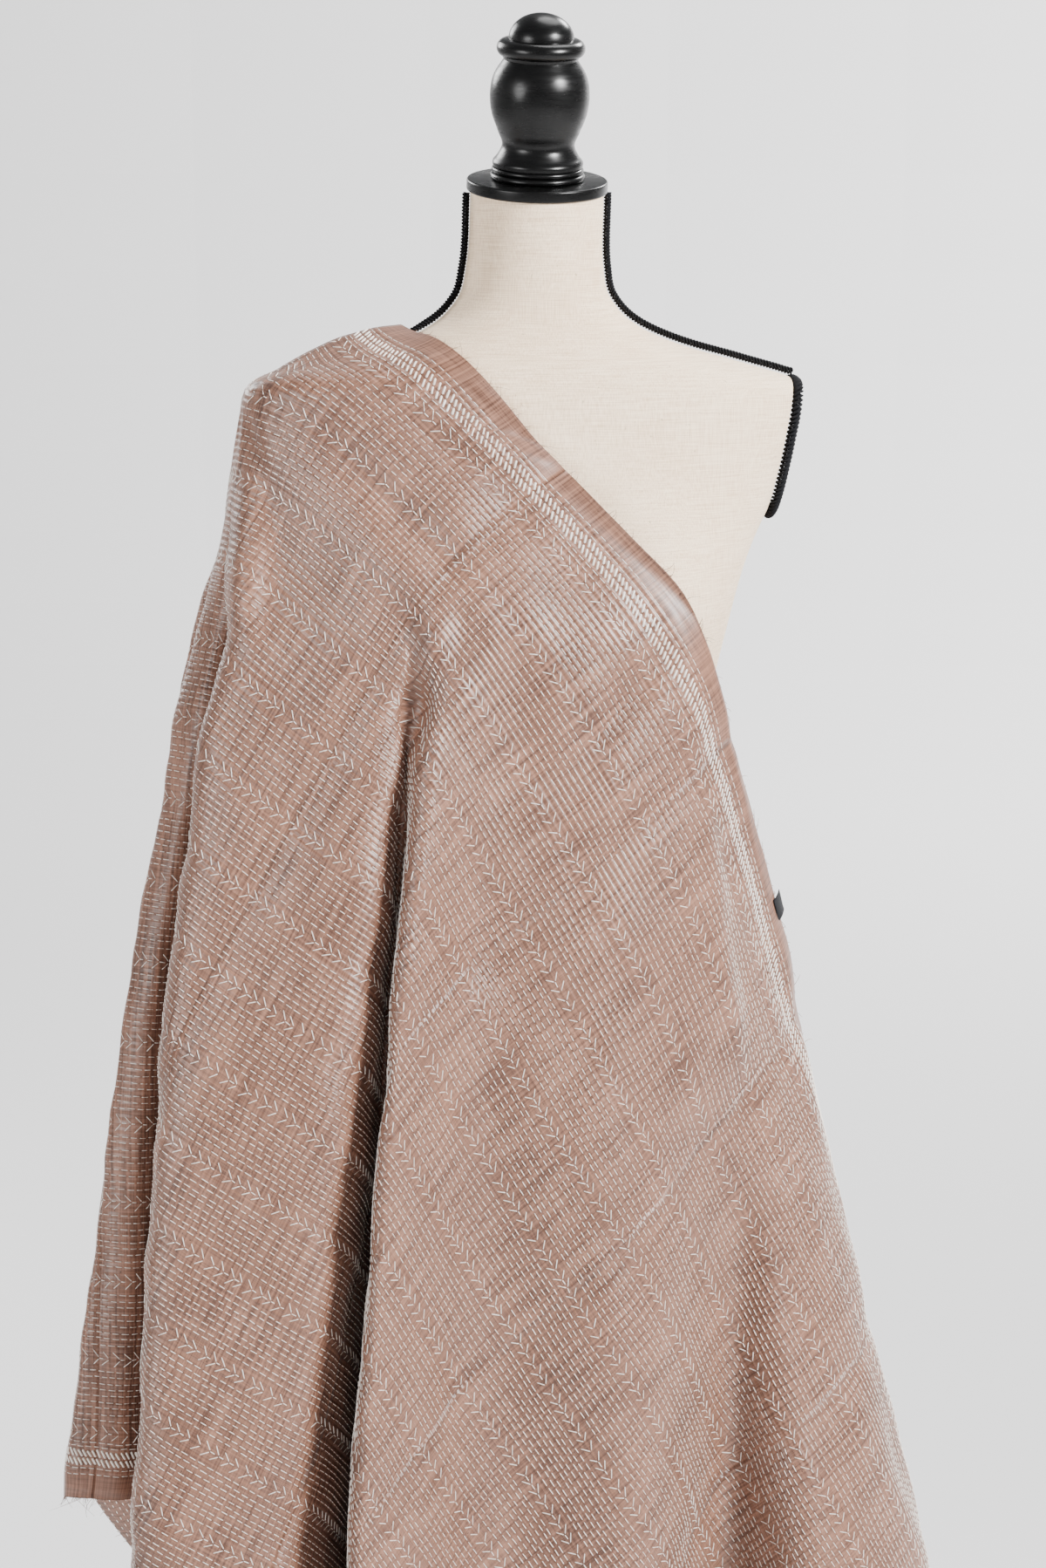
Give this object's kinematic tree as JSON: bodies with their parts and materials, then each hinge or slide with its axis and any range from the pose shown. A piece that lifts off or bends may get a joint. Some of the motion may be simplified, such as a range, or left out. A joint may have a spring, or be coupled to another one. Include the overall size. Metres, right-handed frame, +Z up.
{
  "type": "stitched dupatta on a limbless dress form",
  "caption": "Rectangular stitched dupatta draped from one shoulder of a limbless dress form across its front and down its back, on a pole stand with a round base.",
  "frame": {"origin": "on the floor, at the axis of the stand's pole", "axes": "+Z up, the form faces -Y, and +X is the side of the form's left shoulder"},
  "size_m": [0.6716, 0.5462, 1.6941],
  "materials": {
    "linen": "ecru linen cover with a fine plain weave",
    "black_wood": "turned wood lacquered satin black",
    "black_cord": "black braided cord",
    "tussar": "rosy taupe slub silk with off-white running stitch",
    "black_tape": "bare black woven tape"
  },
  "bodies": {
    "root": {"form_torso": "linen", "neck_plate": "black_wood", "finial": "black_wood", "stand_base": "black_wood", "stand_pole": "black_wood", "shoulder_trim_right": "black_cord", "shoulder_trim_left": "black_cord", "armhole_trim_right": "black_cord", "armhole_trim_left": "black_cord", "dupatta_front": "tussar", "dupatta_fall": "tussar", "dupatta_back": "tussar", "edge_label": "black_tape"}
  },
  "joints": []
}
